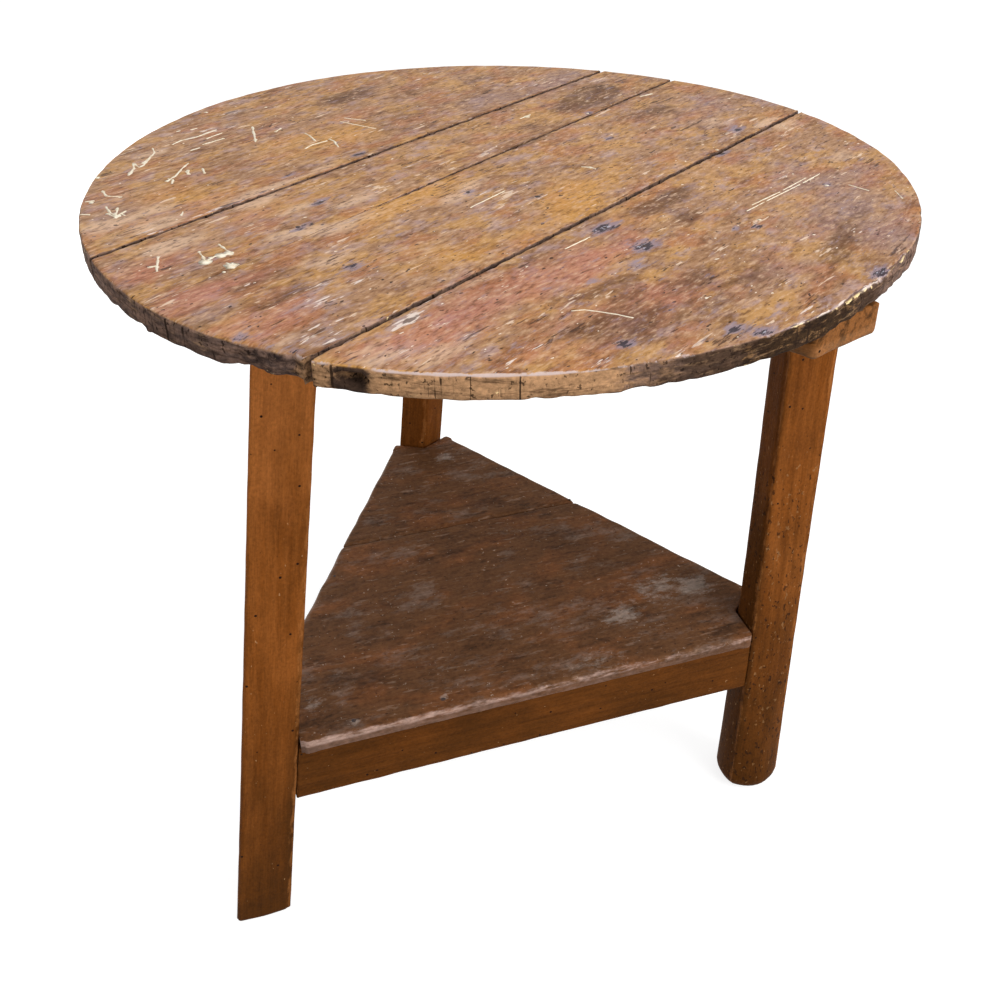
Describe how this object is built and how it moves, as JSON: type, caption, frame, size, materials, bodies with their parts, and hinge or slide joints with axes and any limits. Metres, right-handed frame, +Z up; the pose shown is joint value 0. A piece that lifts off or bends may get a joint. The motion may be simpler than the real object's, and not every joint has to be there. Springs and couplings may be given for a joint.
{
  "type": "cricket table",
  "caption": "Round country table on splayed triangular legs, with tenoned rails, a cross batten under the boarded top and a triangular shelf on stretchers.",
  "frame": {"origin": "on the floor under the centre of the round top", "axes": "+Z up; the front stretcher runs along X and the front of the table faces -Y"},
  "size_m": [0.7544, 0.7546, 0.719],
  "materials": {
    "worn_top": "worn wax polish over old stained softwood",
    "stained_frame": "orange-brown stain, waxed, worn at the edges",
    "dark_shelf": "dark dusty stain, worn at the front edge",
    "iron": "dark rusted"
  },
  "bodies": {
    "root": {"top_board_1": "worn_top", "top_board_2": "worn_top", "top_board_3": "worn_top", "top_board_4": "worn_top", "top_batten": "stained_frame", "frieze_rail_front": "stained_frame", "frieze_rail_right": "stained_frame", "frieze_rail_left": "stained_frame", "stretcher_front": "stained_frame", "stretcher_right": "stained_frame", "stretcher_left": "stained_frame", "leg_left": "stained_frame", "leg_right": "stained_frame", "leg_back": "stained_frame", "shelf_board_front": "dark_shelf", "shelf_board_back": "dark_shelf", "top_nail_1": "iron", "top_nail_2": "iron", "top_nail_3": "iron", "top_nail_4": "iron", "top_nail_5": "iron", "top_nail_6": "iron", "top_nail_7": "iron", "shelf_nail_1": "iron", "shelf_nail_2": "iron", "shelf_nail_3": "iron"}
  },
  "joints": []
}
